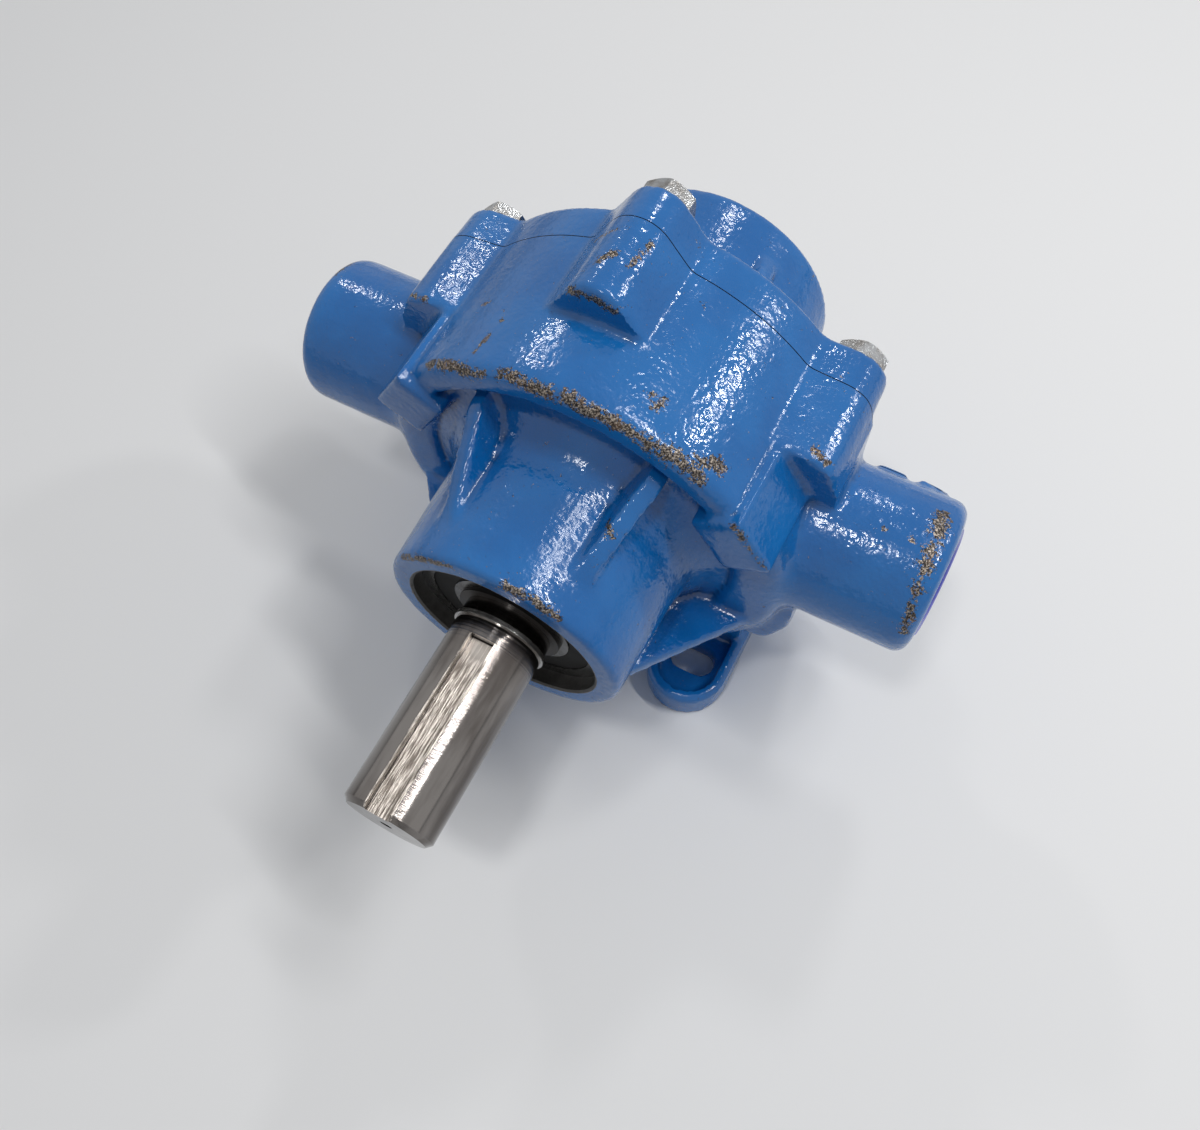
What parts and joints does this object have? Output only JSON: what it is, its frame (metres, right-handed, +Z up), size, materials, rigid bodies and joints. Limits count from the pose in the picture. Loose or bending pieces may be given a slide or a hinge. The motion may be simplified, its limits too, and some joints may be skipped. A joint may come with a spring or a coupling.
{
  "type": "roller pump",
  "caption": "Blue painted roller pump: keyed drive shaft in a bearing hub, rotor with rollers, opposed side ports, bolted end plate and slotted mounting feet.",
  "frame": {"origin": "centre of the four foot slots, on the plane that the feet stand on", "axes": "-Y along the drive shaft towards its free end, +X along the ports towards the plugged outlet, +Z up from the feet to the shaft"},
  "size_m": [0.184, 0.1795, 0.1384],
  "materials": {
    "casting_paint": "gloss blue paint over a sand casting, worn on the edges",
    "zinc_steel": "bright zinc plating",
    "ground_steel": "ground and polished",
    "bearing_steel": "ground",
    "ball_steel": "polished",
    "cage_steel": "pressed sheet",
    "ring_steel": "bright spring steel",
    "black_steel": "black phosphated spring steel",
    "cap_steel": "pressed sheet, satin",
    "key_steel": "drawn",
    "rotor_iron": "machined",
    "roller_plastic": "satin nylon",
    "black_rubber": "satin",
    "blue_plastic": "semi-gloss, slightly translucent"
  },
  "bodies": {
    "housing": {"pump_body": "casting_paint", "end_plate": "casting_paint", "end_plate_o_ring": "black_rubber", "end_plate_bolts": "zinc_steel", "rear_dust_cap": "cap_steel", "front_bearing_outer_ring": "bearing_steel", "front_bearing_front_seal": "black_rubber", "front_bearing_rear_seal": "black_rubber", "front_shaft_seal_case": "cap_steel", "front_shaft_seal_lip": "black_rubber", "front_shaft_seal_spring": "ring_steel", "rear_bearing_outer_ring": "bearing_steel", "rear_bearing_front_seal": "black_rubber", "rear_bearing_rear_seal": "black_rubber", "rear_shaft_seal_case": "cap_steel", "rear_shaft_seal_lip": "black_rubber", "rear_shaft_seal_spring": "ring_steel"},
    "shaft": {"drive_shaft": "ground_steel", "rotor": "rotor_iron", "rotor_key": "key_steel", "shaft_stop_ring": "ring_steel", "front_retaining_ring": "black_steel", "rear_retaining_ring": "black_steel", "front_bearing_inner_ring": "bearing_steel", "rear_bearing_inner_ring": "bearing_steel"},
    "roller_1": {"roller_1": "roller_plastic"},
    "roller_2": {"roller_2": "roller_plastic"},
    "roller_3": {"roller_3": "roller_plastic"},
    "roller_4": {"roller_4": "roller_plastic"},
    "roller_5": {"roller_5": "roller_plastic"},
    "roller_6": {"roller_6": "roller_plastic"},
    "roller_7": {"roller_7": "roller_plastic"},
    "roller_8": {"roller_8": "roller_plastic"},
    "front_balls": {"front_bearing_balls": "ball_steel", "front_bearing_cage": "cage_steel"},
    "rear_balls": {"rear_bearing_balls": "ball_steel", "rear_bearing_cage": "cage_steel"},
    "plug": {"outlet_plug": "blue_plastic"}
  },
  "joints": [
    {"name": "shaft_spin", "type": "hinge", "parent": "housing", "child": "shaft", "pos_m": [0, 0, 0.073], "axis": [0, 1, 0], "continuous": true},
    {"name": "roller_1_spin", "type": "hinge", "parent": "shaft", "child": "roller_1", "pos_m": [0.02864, 0, 0.08486], "axis": [0, 1, 0], "continuous": true},
    {"name": "roller_2_spin", "type": "hinge", "parent": "shaft", "child": "roller_2", "pos_m": [0.01186, 0, 0.10164], "axis": [0, 1, 0], "continuous": true},
    {"name": "roller_3_spin", "type": "hinge", "parent": "shaft", "child": "roller_3", "pos_m": [-0.01186, 0, 0.10164], "axis": [0, 1, 0], "continuous": true},
    {"name": "roller_4_spin", "type": "hinge", "parent": "shaft", "child": "roller_4", "pos_m": [-0.02864, 0, 0.08486], "axis": [0, 1, 0], "continuous": true},
    {"name": "roller_5_spin", "type": "hinge", "parent": "shaft", "child": "roller_5", "pos_m": [-0.02864, 0, 0.06114], "axis": [0, 1, 0], "continuous": true},
    {"name": "roller_6_spin", "type": "hinge", "parent": "shaft", "child": "roller_6", "pos_m": [-0.01186, 0, 0.04436], "axis": [0, 1, 0], "continuous": true},
    {"name": "roller_7_spin", "type": "hinge", "parent": "shaft", "child": "roller_7", "pos_m": [0.01186, 0, 0.04436], "axis": [0, 1, 0], "continuous": true},
    {"name": "roller_8_spin", "type": "hinge", "parent": "shaft", "child": "roller_8", "pos_m": [0.02864, 0, 0.06114], "axis": [0, 1, 0], "continuous": true},
    {"name": "front_balls_spin", "type": "hinge", "parent": "housing", "child": "front_balls", "pos_m": [0, 0, 0.073], "axis": [0, 1, 0], "continuous": true},
    {"name": "rear_balls_spin", "type": "hinge", "parent": "housing", "child": "rear_balls", "pos_m": [0, 0, 0.073], "axis": [0, 1, 0], "continuous": true},
    {"name": "outlet_plug_pull", "type": "slide", "parent": "housing", "child": "plug", "axis": [1, 0, 0], "range_m": [0, 0.03]}
  ],
  "couplings": [
    {"joint": "roller_1_spin", "follows": "shaft_spin", "ratio": -5.4156},
    {"joint": "roller_2_spin", "follows": "shaft_spin", "ratio": -5.4156},
    {"joint": "roller_3_spin", "follows": "shaft_spin", "ratio": -5.4156},
    {"joint": "roller_4_spin", "follows": "shaft_spin", "ratio": -5.4156},
    {"joint": "roller_5_spin", "follows": "shaft_spin", "ratio": -5.4156},
    {"joint": "roller_6_spin", "follows": "shaft_spin", "ratio": -5.4156},
    {"joint": "roller_7_spin", "follows": "shaft_spin", "ratio": -5.4156},
    {"joint": "roller_8_spin", "follows": "shaft_spin", "ratio": -5.4156},
    {"joint": "front_balls_spin", "follows": "shaft_spin", "ratio": 0.3953},
    {"joint": "rear_balls_spin", "follows": "shaft_spin", "ratio": 0.3953}
  ]
}
